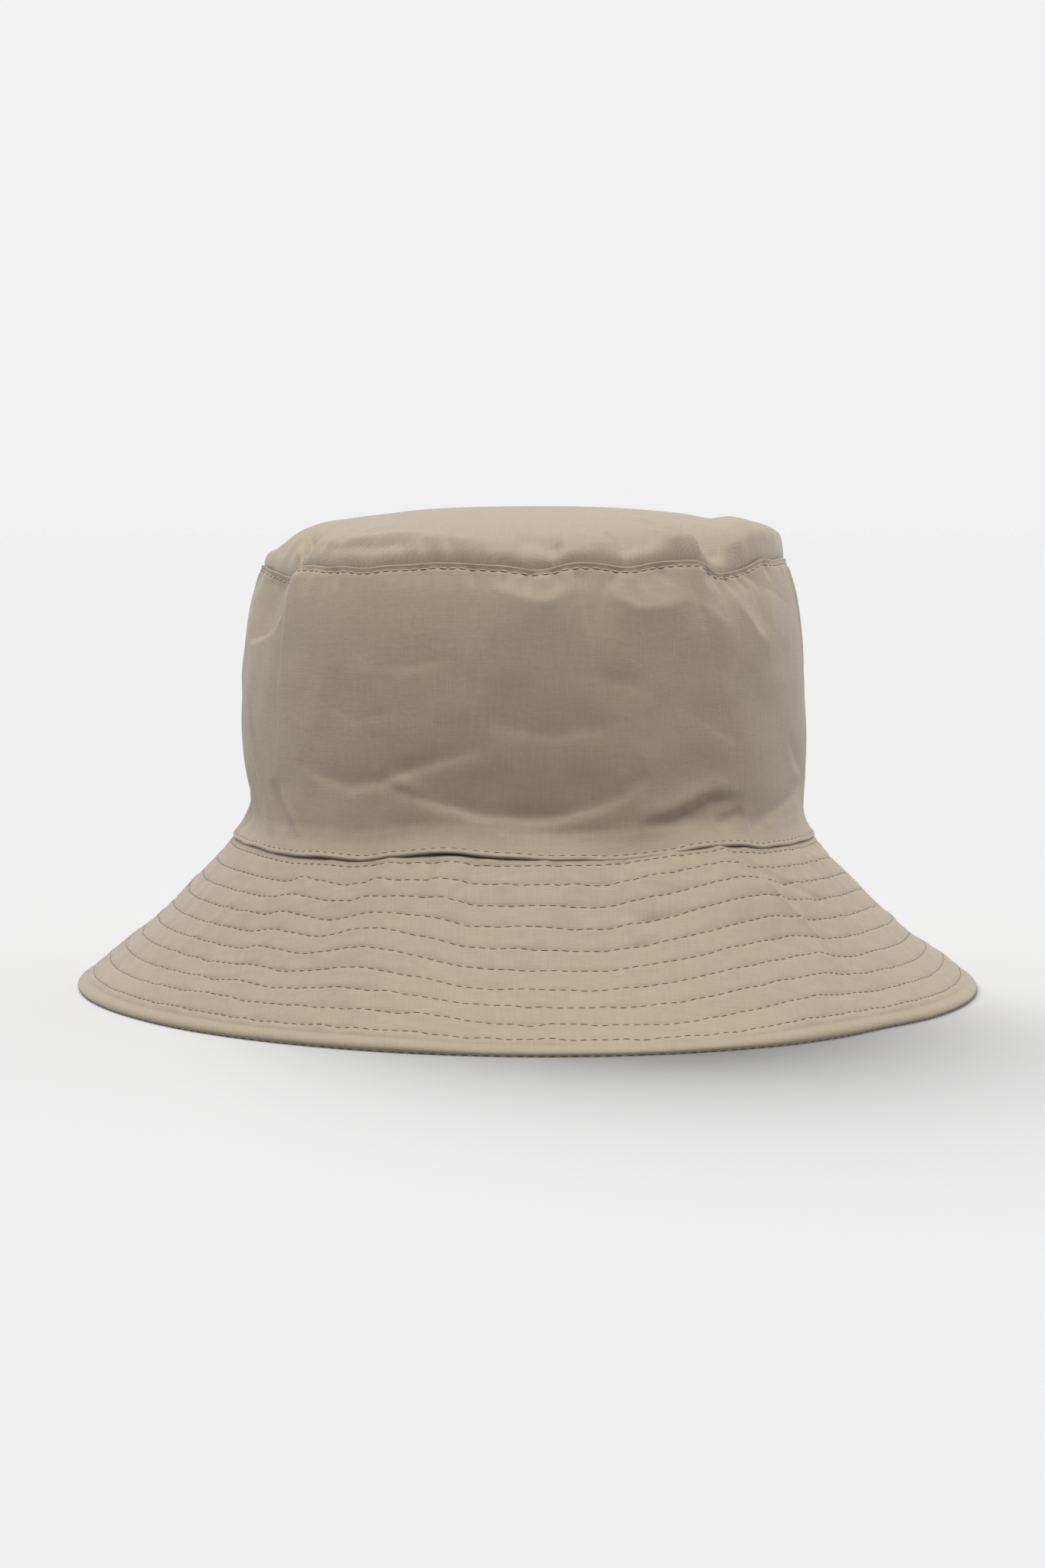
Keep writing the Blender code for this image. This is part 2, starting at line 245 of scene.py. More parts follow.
def side_folds(theta, z):
    """How far the side panel stands out of its smooth shape, by angle and by nominal height."""
    u = theta * MM_PER_DEGREE
    wrap = 360 * MM_PER_DEGREE
    total = np.zeros(u.shape)

    def add(pairs, height, width, kind="ridge", fade="both"):
        nonlocal total
        line = [(angle * MM_PER_DEGREE, up) for angle, up in pairs]
        total = total + fold(u, z, line, height, width, kind, fade, wrap)

    def press(angle, height, size, depth, lean=0.0):
        nonlocal total
        total = total + dent(u, z, (angle * MM_PER_DEGREE, height), size, depth, lean, wrap)

    # the tucked corner at the front's left: the front overlaps it
    add([(213.6, 145), (212.6, 134.5), (209.0, 125), (202, 119.5), (194, 116.5)], 2.1, 9, "step", "end")
    press(203, 131, (8, 9), -1.6)
    add([(205, 118), (211, 108), (216, 97), (221, 88)], 0.45, 3.0)
    add([(196, 104), (199, 92), (202, 80), (207, 66), (210.5, 55)], 0.85, 2.0)
    # tucks under the tip seam, with crisp lower edges
    add([(263, 134.5), (269, 131.8), (275, 131.2), (281, 133.5)], 2.0, 5.0, "kink")
    add([(286, 133), (293, 128.2), (300, 127.4), (306, 130)], 2.2, 5.0, "kink")
    add([(316, 136), (320.0, 127), (323.3, 119.5), (325.8, 117.0), (328.5, 121), (331, 132)], 2.1, 4.5,
        "kink")
    add([(305, 129), (311, 124.5), (317, 123)], 1.0, 4.5, "kink")
    add([(238, 137), (250, 134.5), (262, 136)], 0.35, 5, "kink")
    for angle, lean in [(268, -2.6), (271.5, -1.2), (276, 1.3), (279, 3.0), (290, -2.4), (294, 0.6),
        (298, 2.4), (312.6, -3.2),
                        (314.2, -0.6), (316.6, 2.2), (319.6, 4.2), (322.5, 6), (333, 1), (259, 0.8),
                            (246, -1), (227, 1.5)]:
        add([(angle, 142.5), (angle + lean * 0.5, 138.0), (angle + lean, 134.0)], -1.05, 1.6, fade="end")
    add([(346, 142), (349, 128), (350.5, 113), (348, 97)], 1.0, 2.2, "crease", "end")
    add([(354, 140), (355, 126), (358, 112)], -1.6, 4.0)
    # smiling folds above the hem
    add([(220, 80), (226.9, 75), (233.6, 72.6), (242.6, 74.3), (256, 79.5), (263, 84)], -1.3, 5.0, "tuck")
    add([(240.5, 73.5), (245.8, 70), (251.6, 66), (260, 62.3), (270, 61.8), (276.4, 62.7), (283, 65.4),
        (289.6, 70), (294.5, 76)],
        -1.75, 6.5, "tuck")
    press(246.5, 72.5, (7, 2.6), 0.7, -28)
    add([(262, 58.5), (272, 57.2), (284, 58.0), (292, 60.5)], -0.45, 3.5, "tuck")
    add([(318, 66.5), (315.2, 65.6), (308.6, 64.6), (304.6, 61.5), (299, 60.4), (293, 60.6)], -1.9, 3.2,
        "tuck")
    add([(292, 63.5), (299, 64), (304, 66), (309, 69), (316, 70)], 0.8, 3.2)
    add([(319.5, 55.5), (321.8, 57.0), (326, 59.5), (332, 62), (340, 64.5), (352, 70)], -1.6, 4.0, "tuck")
    add([(310, 56.5), (314, 58.5), (318, 62)], -0.9, 2.2)
    add([(335, 84), (341, 76), (350, 70)], -0.7, 4, "tuck")
    # upright folds at the left of the hem
    add([(194, 77), (197.5, 70), (202.5, 60), (205.5, 54)], 0.8, 1.7)
    add([(214.0, 71), (216.8, 64), (220.6, 55.5)], 0.75, 1.6)
    add([(210.5, 74), (213, 66), (215.5, 57)], -0.7, 2.6)
    press(187, 59.5, (14, 7), -3.3)
    press(186, 67, (9, 10), -1.0)
    # faint old creases across the front
    add([(236, 112), (246, 109), (258, 111.5)], -0.4, 3, "tuck")
    add([(262, 92), (276, 88.5), (290, 91.5)], -0.4, 4, "tuck")
    add([(281, 107), (290, 104.5), (297, 100)], -0.35, 3, "tuck")
    add([(226, 99), (236, 94), (247, 95)], -0.4, 3, "tuck")
    add([(301, 95), (309, 88), (316, 85)], -0.4, 4, "tuck")
    # the back half, creased in the same way
    for angle, low, reach, depth in [(12, 132, 7, 1.6), (40, 129, 8, 1.5), (71, 127, 9, 1.8),
        (93, 131, 6, 1.0), (114, 126, 9, 1.8),
                                     (144, 130, 8, 1.4), (168, 131, 6, 1.2)]:
        add([(angle - reach, low + 4), (angle - reach * 0.3, low), (angle + reach * 0.5, low - 0.5),
            (angle + reach, low + 4)],
            depth * 1.1, 4.8, "kink")
        for lean in (-3.2, 0.4, 3.0):
            add([(angle + lean * 0.4, 142.5), (angle + lean, 138), (angle + lean * 1.5, 134.5)], -0.8,
                1.8, fade="end")
    for start in (10, 55, 99, 142):
        add([(start, 80), (start + 6, 71), (start + 16, 65.5), (start + 25, 66.5), (start + 32, 76)],
            -1.4, 6.0, "tuck")
        add([(start + 31, 57), (start + 36, 61), (start + 43, 68)], -1.2, 4, "tuck")
        add([(start + 12, 60), (start + 20, 58), (start + 29, 60)], -0.5, 3.5, "tuck")
    for start, height in ((24, 104), (62, 96), (84, 112), (122, 101), (150, 92)):
        add([(start, height + 2), (start + 9, height), (start + 19, height + 2.5)], -0.4, 4, "tuck")
    add([(88, 141), (90, 126), (95, 112), (104, 100)], 0.8, 2.6, "crease", "end")
    add([(155, 141), (152, 124), (146, 110)], 0.8, 2.6, "crease", "end")
    press(62, 60, (15, 7), -1.6)
    press(131, 59, (16, 7), -1.8)
    # soft unevenness of cloth
    total = total + ripple(theta, z, 10, 0.26, 38, 80, 11)
    total = total + ripple(theta, z, 12, 0.10, 14, 26, 12) * (0.4 + 0.6 * np.cos((z - 60) / 14) ** 2)
    # the hem and the seams hold the cloth
    hold = np.clip((z - 51.0) / 6.5, 0, 1) * np.clip((142.0 - z) / 4.0, 0.15, 1)
    seams = -0.32 * bell(((theta + 90) % 180 - 90) * MM_PER_DEGREE, 0.9)
    pucker = ripple(theta, 0 * z, 14, 0.30, 7, 13, 13) * np.exp(-((SIDE_TOP - z) / 6.0) ** 2)
    rim = 0.30 * bell(141.3 - z, 0.45) - 0.24 * bell(139.9 - z, 0.55)
    hem = -0.20 * bell(51.9 - z, 0.45)
    return total * hold + seams + pucker * hold + rim + hem


def side_heights():
    """Nominal heights of the rows, close together at the hem and at the seam."""
    bottom = [49.9, 50.0, 50.15, 50.35, 50.6, 50.85, 51.2, 51.6, 52.0, 52.5, 53.0, 53.6, 54.2]
    middle = list(np.arange(55.0, 136.5, 0.85))
    top = [137.0, 137.7, 138.3, 138.8, 139.2, 139.5, 139.8, 140.1, 140.4, 140.65, 140.9, 141.1, 141.3,
        141.45, 141.58]
    return np.array((bottom + middle + top)[::-1])


def side_surface(theta, heights):
    nominal = spread(heights, theta)
    share = (nominal - SIDE_BOTTOM) / (SIDE_TOP - SIDE_BOTTOM)
    seam_r, seam_z = seam_ring(theta)
    lip = lip_ring(theta)[None, :]
    z = lip - 0.1 + (seam_z[None, :] - lip) * share
    xs = [h for h, _ in SIDE_CURVE]
    ys = [r for _, r in SIDE_CURVE]
    r = pchip(nominal, xs, ys) + (seam_r[None, :] - SEAM_RADIUS) * np.clip(share, 0, 1) ** 4
    grid = place(r, z, theta)
    out = side_folds(spread(theta, heights).T + 0 * nominal, nominal)
    return grid, out


def tip_point(angle, share):
    a = math.radians(angle)
    return (RIM * share * math.cos(a), RIM * share * math.sin(a))


def tip_folds(x, y, theta, share):
    total = np.zeros(x.shape)
    p = tip_point

    def add(points, height, width, kind="ridge", fade="both"):
        nonlocal total
        total = total + fold(x, y, [p(*q) for q in points], height, width, kind, fade)

    def press(at, size, height, lean):
        nonlocal total
        total = total + dent(x, y, p(*at), size, height, lean)

    # the pulled-down corner at the front's left
    add([(213.8, 1.04), (212.0, 0.975), (208.5, 0.935), (204, 0.905), (199.5, 0.87), (196, 0.82)], 1.8, 6,
        "step", "end")
    add([(215.0, 1.0), (212.8, 0.96), (209.0, 0.93), (204.5, 0.90)], -2.6, 2.0, fade="end")
    press((202.5, 0.865), (9, 6), 1.0, 112)
    press((180, 0.965), (36, 8), -3.0, 90)
    add([(228, 0.86), (214, 0.70), (180, 0.62), (150, 0.70)], -1.5, 12)
    # a creased shoulder to its right
    add([(216, 0.955), (221, 0.95), (226, 0.968), (231, 0.945), (237, 0.925), (243, 0.925), (249, 0.95),
        (257, 0.962), (266, 0.965)],
        1.35, 2.6, "crease")
    add([(219, 0.99), (229, 0.985), (239, 0.975), (249, 0.985)], -1.3, 2.2)
    # puckers that run in from the seam
    add([(276.5, 1.01), (275.6, 0.97), (272.8, 0.94), (268, 0.925)], -2.3, 2.8, fade="end")
    add([(279.5, 1.0), (281.0, 0.955), (283.5, 0.94)], -1.1, 2.6, fade="end")
    add([(292.0, 1.01), (292.6, 0.96), (291.6, 0.925), (289, 0.905)], -2.8, 3.4, fade="end")
    add([(296.5, 1.0), (298.0, 0.965), (301, 0.94)], -1.3, 3.2, fade="end")
    add([(316.0, 1.01), (314.6, 0.94), (311.5, 0.86), (307, 0.77), (303, 0.69)], -4.4, 4.6, fade="end")
    add([(311, 0.985), (307.5, 0.95), (303, 0.90), (299, 0.83)], 0.9, 2.6, "crease")
    press((284.5, 0.955), (7, 4), 0.8, 15)
    press((304, 0.945), (8, 6), 1.4, 32)
    press((336, 0.93), (22, 8), 2.0, 66)
    press((2, 0.93), (22, 7), 2.2, 92)
    press((0, 0.80), (34, 7), 1.7, 90)
    press((0, 0.715), (40, 4), -0.9, 90)
    press((323, 0.90), (5, 9), 1.6, 50)
    add([(322, 0.99), (328, 0.965), (336, 0.955), (345, 0.965)], 0.7, 2.4, "crease")
    for angle, depth, reach in [(12, 2.6, 0.80), (40, 2.2, 0.88), (71, 3.4, 0.78), (114, 3.8, 0.76),
        (146, 2.2, 0.88), (170, 2.6, 0.84)]:
        add([(angle, 1.01), (angle + 1, 0.95), (angle - 3, reach)], -depth, 3.8, fade="end")
    press((55, 0.93), (12, 7), 1.6, 55)
    press((92, 0.92), (16, 7), 1.6, 90)
    press((130, 0.93), (12, 7), 1.8, 130)
    # broad, lazy unevenness of the flat top
    total = total + 0.3 * np.sin(x / 23.0 + 1) * np.cos(y / 21.0) * (1 - share**4)
    pucker = ripple(theta, 0 * x, 14, 0.34, 7, 13, 13) * np.exp(-((1 - share) * RIM / 5.0) ** 2)
    return total + pucker


def tip_surface(theta, shares):
    """The top panel, from its middle to the rolled edge that stands over the seam."""
    t = spread(shares, theta)
    seam_r, seam_z = seam_ring(theta)
    rise = np.clip(1 - np.clip(t, 0, 1) ** 2.6, 0, 1) ** (1 / 2.6)
    r = t * (seam_r[None, :] - 0.5)
    z = SEAM_Z + (seam_z[None, :] - 0.3 - SEAM_Z) * np.clip(t, 0, 1) ** 5 + rise * TIP_RISE
    grid = place(r, z, theta)
    x = RIM * t * np.cos(np.radians(theta))[None, :]
    y = RIM * t * np.sin(np.radians(theta))[None, :]
    hold = np.clip((1.0 - t) * RIM / 2.5, 0.0, 1.0)
    return grid, tip_folds(x, y, spread(theta, shares).T + 0 * t, t) * hold


def brim_edge_ring(theta):
    return round_curve(theta, [(180, 150.8), (196, 149.8), (211, 149.0), (229, 150.0), (243, 151.5),
        (257, 154.2),
                               (272, 157.0), (285, 158.0), (298, 157.6), (308, 155.5), (318, 152.6),
                                   (328, 153.6),
                               (340, 153.4), (357, 152.3), (15, 151.0), (40, 152.5), (65, 150.8),
                                   (90, 153.0),
                               (115, 151.4), (140, 152.6), (160, 150.6)])


BRIM_WAVES = {
    0: [(180, 0.7), (205, 0.6), (222, -0.5), (235, 0), (245, 2.0), (256, 2.9), (265, 2.4), (283, 2.4),
        (295, 3.2), (308, 4.0),
        (316, 3.0), (326, 1.8), (340, 1.4), (352, 1.0), (8, 0.2), (30, 2.2), (52, 0.6), (74, 2.8),
            (95, 0.4), (120, 2.6),
        (140, 0.8), (160, 2.0)],
    10: [(180, 0), (205, 0), (221, -0.6), (228, 1.5), (237, 0.3), (244.5, 2.9), (253, 3.1), (257, 3.8),
        (263, 2.2), (272, 2.3),
         (278, 2.3), (282, 1.6), (294, 4.6), (308, 7.2), (312, 5.6), (322, 3.4), (338, 2.6), (346, 2.2),
             (354, 0.6), (6, -0.4), (18, 1.0),
         (30, 3.2), (52, 0.4), (74, 4.2), (95, 0.2), (120, 4.0), (140, 0.4), (160, 2.6)],
    20: [(180, 0), (205, 0), (222, -0.5), (228, 1.4), (236, 0.6), (246, 3.8), (256, 3.6), (263, 1.0),
        (272, 1.1), (281, 0.2),
         (291, 3.2), (310, 7.8), (320, 4.2), (338, 2.6), (344, 2.4), (353, 0.5), (6, -0.6), (18, 0.8),
             (31, 3.6), (52, 0.0), (75, 5.0),
         (95, -0.4), (121, 4.6), (140, 0.0), (161, 2.4)],
    31: [(180, 0), (205, 0), (222, -0.3), (228, 1.4), (236.5, 0.7), (246.5, 4.4), (256, 2.2), (263, -0.5),
        (272, -0.9),
         (280, -1.5), (290, 0.5), (311, 5.8), (321, 2.6), (341, 1.8), (350, 0.6), (6, -0.6), (19, 0.4),
             (32, 3.2), (52, -0.6),
         (75, 4.6), (95, -1.0), (121, 4.2), (140, -0.6), (161, 1.8)],
    45: [(180, 0), (205, 0), (224, -0.3), (228, 0.7), (234, -0.1), (247, 2.8), (257, 0.8), (262, -1.1),
        (272, -2.0), (280, -2.5),
         (288, -1.0), (313, 4.2), (323, 0.6), (338, 0.4), (348, 0.2), (8, -0.6), (20, 0.2), (33, 2.2),
             (52, -0.8), (76, 3.2),
         (95, -1.2), (122, 3.0), (140, -0.8), (161, 1.0)],
    59: [(180, 0), (205, 0), (229, 0.4), (232, 0.1), (249, 1.0), (258, 0.5), (263, -1.0), (271, -2.0),
        (280, -2.4), (287, -2.2),
         (308, 1.8), (322, 0.2), (340, 0), (355, 0.3), (8, -0.4), (35, 1.0), (52, -0.5), (76, 1.4),
             (95, -0.6), (122, 1.4),
         (140, -0.5), (161, 0.4)],
    73: [(180, 0), (235, 0), (250, 0), (259, 0), (285, 0), (313, 0), (340, 0), (0, 0), (60, 0), (120, 0)],
}
BRIM_START = np.array([97.1, 50.0])
BRIM_END = np.array([148.8, 3.36])
BRIM_LENGTH = float(np.linalg.norm(BRIM_END - BRIM_START))


def brim_distances():
    steps = [-4.6, -3.6, -2.6, -2.0, -1.4, -0.8, -0.2, 0.4, 1.0]
    for d in ROWS:
        steps += [d - 1.2, d - 0.7, d - 0.35, d, d + 0.35, d + 0.7, d + 1.2, d + 2.2, d + 3.4, d + 4.6]
    steps += [67.6, 68.4, 69.0, 69.6]
    return np.array(sorted(set(round(s, 3) for s in steps if s < 69.7)))


# The rolled edge below the slope: (outwards, upwards) from the slope's end, down to the hem turned under.
EDGE_ROLL = [(0.30, -0.20), (0.75, -0.35), (1.30, -0.62), (1.80, -1.05), (2.15, -1.55), (2.32, -2.05),
    (2.30, -2.5), (2.08, -2.85),
             (1.7, -3.08), (1.1, -3.16), (0.4, -3.08), (-0.4, -2.8), (-1.4, -2.2), (-2.4, -1.4),
                 (-3.4, -0.5), (-4.6, 0.6),
             (-5.8, 1.7), (-7.0, 2.8)]


# Small creases across the brim: (angle, distance) points, height and width.
BRIM_CREASES = [
    ([(308.6, -2), (310.5, 8), (314, 20), (318, 36), (320, 46)], 0.75, 1.5), ([(311.5, 3), (316, 12),
        (323, 21), (330, 27)], -0.7, 1.8),
    ([(262, -2), (261, 8), (257, 20)], -0.6, 1.8), ([(274.5, -2), (276, 7), (276, 14)], -0.55, 1.6),
    ([(256, -2), (254.5, 10), (249, 26), (247, 40)], 0.5, 1.7), ([(243, 2), (240, 16), (236.5, 30)], -0.5,
        2.2),
    ([(228, 4), (229, 20), (229, 36), (230, 48)], 0.5, 2.2), ([(283, 18), (289, 24), (299, 25)], -0.45,
        2.0),
    ([(300, 34), (307, 38), (314, 44)], -0.4, 2.2), ([(268, 40), (272, 50), (274, 62)], 0.4, 2.4),
    ([(291, 8), (296, 14), (302, 15)], 0.45, 1.8), ([(332, 12), (329, 28), (326, 44)], 0.5, 2.2),
    ([(215, 10), (212, 28), (209, 48)], 0.45, 2.4), ([(198, 14), (199, 32), (198, 52)], -0.45, 2.6),
    ([(20, -2), (23, 12), (27, 30)], 0.6, 1.8), ([(38, 0), (36, 14), (33, 26)], -0.55, 2.0),
    ([(66, -2), (69, 14), (74, 32), (76, 48)], 0.7, 1.8), ([(83, -2), (82, 12), (79, 26)], -0.6, 1.9),
    ([(101, 6), (104, 22), (104, 40)], 0.45, 2.3), ([(117, -2), (120, 14), (122, 34)], 0.65, 1.8),
    ([(133, 0), (131, 16), (127, 30)], -0.5, 2.0), ([(150, -2), (153, 12), (158, 30)], 0.6, 1.8),
        ([(170, 8), (168, 30), (167, 48)], 0.4, 2.4),
]


def brim_ridge(theta, d, r):
    """The front half ends in a sharp ridge at the right, and the cloth behind it lies lower."""
    along = [(359, -6), (355, 2), (351.5, 10), (349, 17), (346.5, 24), (344.5, 31), (342.5, 38),
        (341, 45), (340, 52), (339.5, 58)]
    middle = 350.0
    spot = lambda angle, dist: ((angle - middle) * math.radians(97 + 0.74 * dist), dist)
    u = from_angle(theta, middle) * np.radians(r)
    far, side, share = near_line(u, d, [spot(a, x) for a, x in along])
    s = side * far
    step = 0.5 * (1 - np.tanh(s / 2.0))
    front = 0.9 * np.exp(-np.maximum(s, 0) / 5.0) * (1 - step)
    behind = -2.0 * np.exp(-np.maximum(-s, 0) / 8.0) * step
    return (front + behind) * np.clip(share / 0.12, 0,
        1) * np.cos(0.5 * math.pi * np.clip((share - 0.55) / 0.45, 0, 1))


def brim_surface(theta, distances, roll=True):
    d = spread(distances, theta)
    share = d / BRIM_LENGTH
    inside = d < 0
    sag = 1.4 * np.sin(math.pi * np.clip(share, 0, 1))
    edge = brim_edge_ring(theta)[None, :]
    r = BRIM_START[0] + (BRIM_END[0] - BRIM_START[0]) * share - sag
    r = r + (edge - 151.2) * np.clip(share, 0, 1) ** 1.3
    z = BRIM_START[1] + (BRIM_END[1] - BRIM_START[1]) * share - sag
    keys = sorted(BRIM_WAVES)
    waves = np.stack([round_curve(theta, BRIM_WAVES[k]) for k in keys])
    wave = np.empty(d.shape)
    for i, dist in enumerate(distances):
        x = min(max(dist, 0.0), 73.0)
        j = min(np.searchsorted(keys, x, side="right") - 1, len(keys) - 2)
        t = (x - keys[j]) / (keys[j + 1] - keys[j])
        wave[i] = waves[j] * (1 - t) + waves[j + 1] * t
    z = z + wave
    # inside the crown the cloth turns up along the side panel
    up = np.clip(-d, 0, None)
    r = np.where(inside, BRIM_START[0] - 0.9 * (1 - np.exp(-up / 1.2)) - 0.52 * up, r)
    z = np.where(inside, BRIM_START[1] + wave + up * 0.93, z)
    grid = place(r, z, theta)
    out = np.zeros(d.shape)
    for row in ROWS:
        out -= 0.30 * bell(d - row, 0.62)
    out -= 0.35 * bell(d - 68.9, 0.6)
    pucker = ripple(theta, d * 0.5, 16, 0.21, 6, 12, 31)
    out += pucker * (0.55 + 0.45 * np.cos((d - ROWS[0]) / ROW_PITCH * 2 * math.pi)) * np.clip(d / 4, 0,
        1) * np.clip((73 - d) / 6, 0, 1)
    out += ripple(theta, d, 8, 0.22, 22, 44, 32) * np.clip(d / 12, 0, 1) * np.clip((73 - d) / 14, 0, 1)
    gathers = [(257.5, 0.7, 5), (263.5, 0.5, 3), (274, 0.4, 3), (299, 0.5, 4), (309.2, 0.7, 3.4),
        (316, 0.5, 3), (232, 0.5, 3),
               (245, 0.5, 3), (25, 0.7, 4), (70, 0.7, 4), (84, 0.5, 3), (118, 0.7, 4), (150, 0.6, 4)]
    for angle, height, width in gathers:
        near = height * bell(from_angle(theta, angle) * MM_PER_DEGREE, width)
        out += near * np.exp(-np.clip(d, 0, None) / 6.0) * np.clip((d + 0.6) / 1.6, 0, 1)
    # the side seams: the front half stands a little over the back
    across = ((theta + 90) % 180 - 90)[None, :] * np.radians(r)
    out -= 0.32 * bell(across, 0.9) * np.clip(d / 3, 0, 1)
    out += brim_ridge(theta, d, r)
    for line, height, width in BRIM_CREASES:
        u = from_angle(theta, line[0][0]) * np.radians(97 + 0.74 * d)
        points = [((a - line[0][0]) * math.radians(97 + 0.74 * x), x) for a, x in line]
        out += fold(u, d, points, height, width) * np.clip(d / 2, 0, 1)
    grid = grid + normals_of(grid) * out[:, :, None]
    if not roll:
        return grid
    last_r = np.hypot(grid[-1, :, 0], grid[-1, :, 1] / PLAN)
    last_z = grid[-1, :, 2]
    rolls = []
    for dr, dz in EDGE_ROLL:
        rr = last_r + dr
        zz = last_z * (1 + dz / BRIM_END[1]) if dz < 0 else last_z + dz
        a = np.radians(theta)
        rolls.append(np.stack([rr * np.cos(a), PLAN * rr * np.sin(a), zz], axis=1))
    return np.concatenate([grid, np.array(rolls)])


# ---- meshes
def columns_between(grid, start, end, gap=0.03):
    """The columns between two angles, with a hair's gap at each end. Angles go up, and may pass 360."""
    step = 360 / COLUMNS
    first, last = round(start / step), round(end / step)
    picked = np.take(grid, np.arange(first, last + 1) % COLUMNS, axis=1).copy()
    for edge, inner in ((0, 1), (-1, -2)):
        gone = picked[:, edge] - picked[:, inner]
        size = np.linalg.norm(gone, axis=1, keepdims=True)
        picked[:, edge] -= gone / np.maximum(size, 1e-9) * np.minimum(gap, 0.4 * size)
    return picked


def cloth_mesh(name, outer, inner, uv, material, wrap=False, cap=False):
    """A closed layer of cloth between an outer and an inner grid of points."""
    rows, cols = outer.shape[:2]
    count = rows * cols
    points = np.concatenate([outer.reshape(-1, 3), inner.reshape(-1, 3)]) * METRE
    index = np.arange(count).reshape(rows, cols)
    if wrap:
        index = np.concatenate([index, index[:, :1]], axis=1)
    a, b, c, d = index[:-1, :-1], index[1:, :-1], index[1:, 1:], index[:-1, 1:]
    quads = np.stack([a, b, c, d], axis=-1).reshape(-1, 4)
    faces = [quads, quads[:, ::-1] + count]
    rims = [index[-1]]
    if not cap:
        rims.append(index[0][::-1])
    if not wrap:
        rims += [index[:, 0], index[:, -1][::-1]]
    for rim in rims:
        faces.append(np.stack([rim[:-1], rim[:-1] + count, rim[1:] + count, rim[1:]], axis=-1))
    faces = np.concatenate(faces)
    polygons = faces.tolist()
    if cap:
        ring = list(range(cols))
        polygons.append(ring)
        polygons.append([i + count for i in ring[::-1]])
    mesh = bpy.data.meshes.new(name)
    mesh.from_pydata(points.tolist(), [], polygons)
    layer = mesh.uv_layers.new(name="weave")
    both = np.concatenate([uv.reshape(-1, 2), uv.reshape(-1, 2)]) * METRE
    loops = np.empty(len(mesh.loops), np.int32)
    mesh.loops.foreach_get("vertex_index", loops)
    layer.data.foreach_set("uv", both[loops].astype(np.float32).ravel())
    mesh.validate()
    return link_mesh(name, mesh, material)


def link_mesh(name, mesh, material):
    """An object for the mesh, whose faces are turned outwards."""
    if signed_volume(mesh) < 0:
        mesh.flip_normals()
    mesh.shade_smooth()
    mesh.materials.append(material)
    obj = bpy.data.objects.new(name, mesh)
    bpy.context.scene.collection.objects.link(obj)
    return obj


def signed_volume(mesh):
    mesh.calc_loop_triangles()
    co = np.empty(len(mesh.vertices) * 3, np.float32)
    mesh.vertices.foreach_get("co", co)
    co = co.reshape(-1, 3).astype(float)
    tri = np.empty(len(mesh.loop_triangles) * 3, np.int32)
    mesh.loop_triangles.foreach_get("vertices", tri)
    a, b, c = (co[tri.reshape(-1, 3)[:, i]] for i in range(3))
    return float((a * np.cross(b, c)).sum() / 6)


def settle(obj, body, slot, *nodes):
    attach(obj, body)
    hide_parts(*nodes)
    return obj


def sample(grid, row, theta):
    """Point and normal on a full-turn grid at fractional rows and at angles."""
    col = np.asarray(theta) % 360 * COLUMNS / 360
    row = np.clip(np.asarray(row, float), 0, grid.shape[0] - 1.001)
    i, j = np.floor(row).astype(int), np.floor(col).astype(int)
    s, t = (row - i)[..., None], (col - j)[..., None]
    j0, j1 = j % COLUMNS, (j + 1) % COLUMNS
    a, b, c, d = grid[i, j0], grid[i + 1, j0], grid[i, j1], grid[i + 1, j1]
    point = a * (1 - s) * (1 - t) + b * s * (1 - t) + c * (1 - s) * t + d * s * t
    n = np.cross((b - a) * (1 - t) + (d - c) * t, (c - a) * (1 - s) + (d - b) * s)
    return point, n / np.maximum(np.linalg.norm(n, axis=-1, keepdims=True), 1e-9)


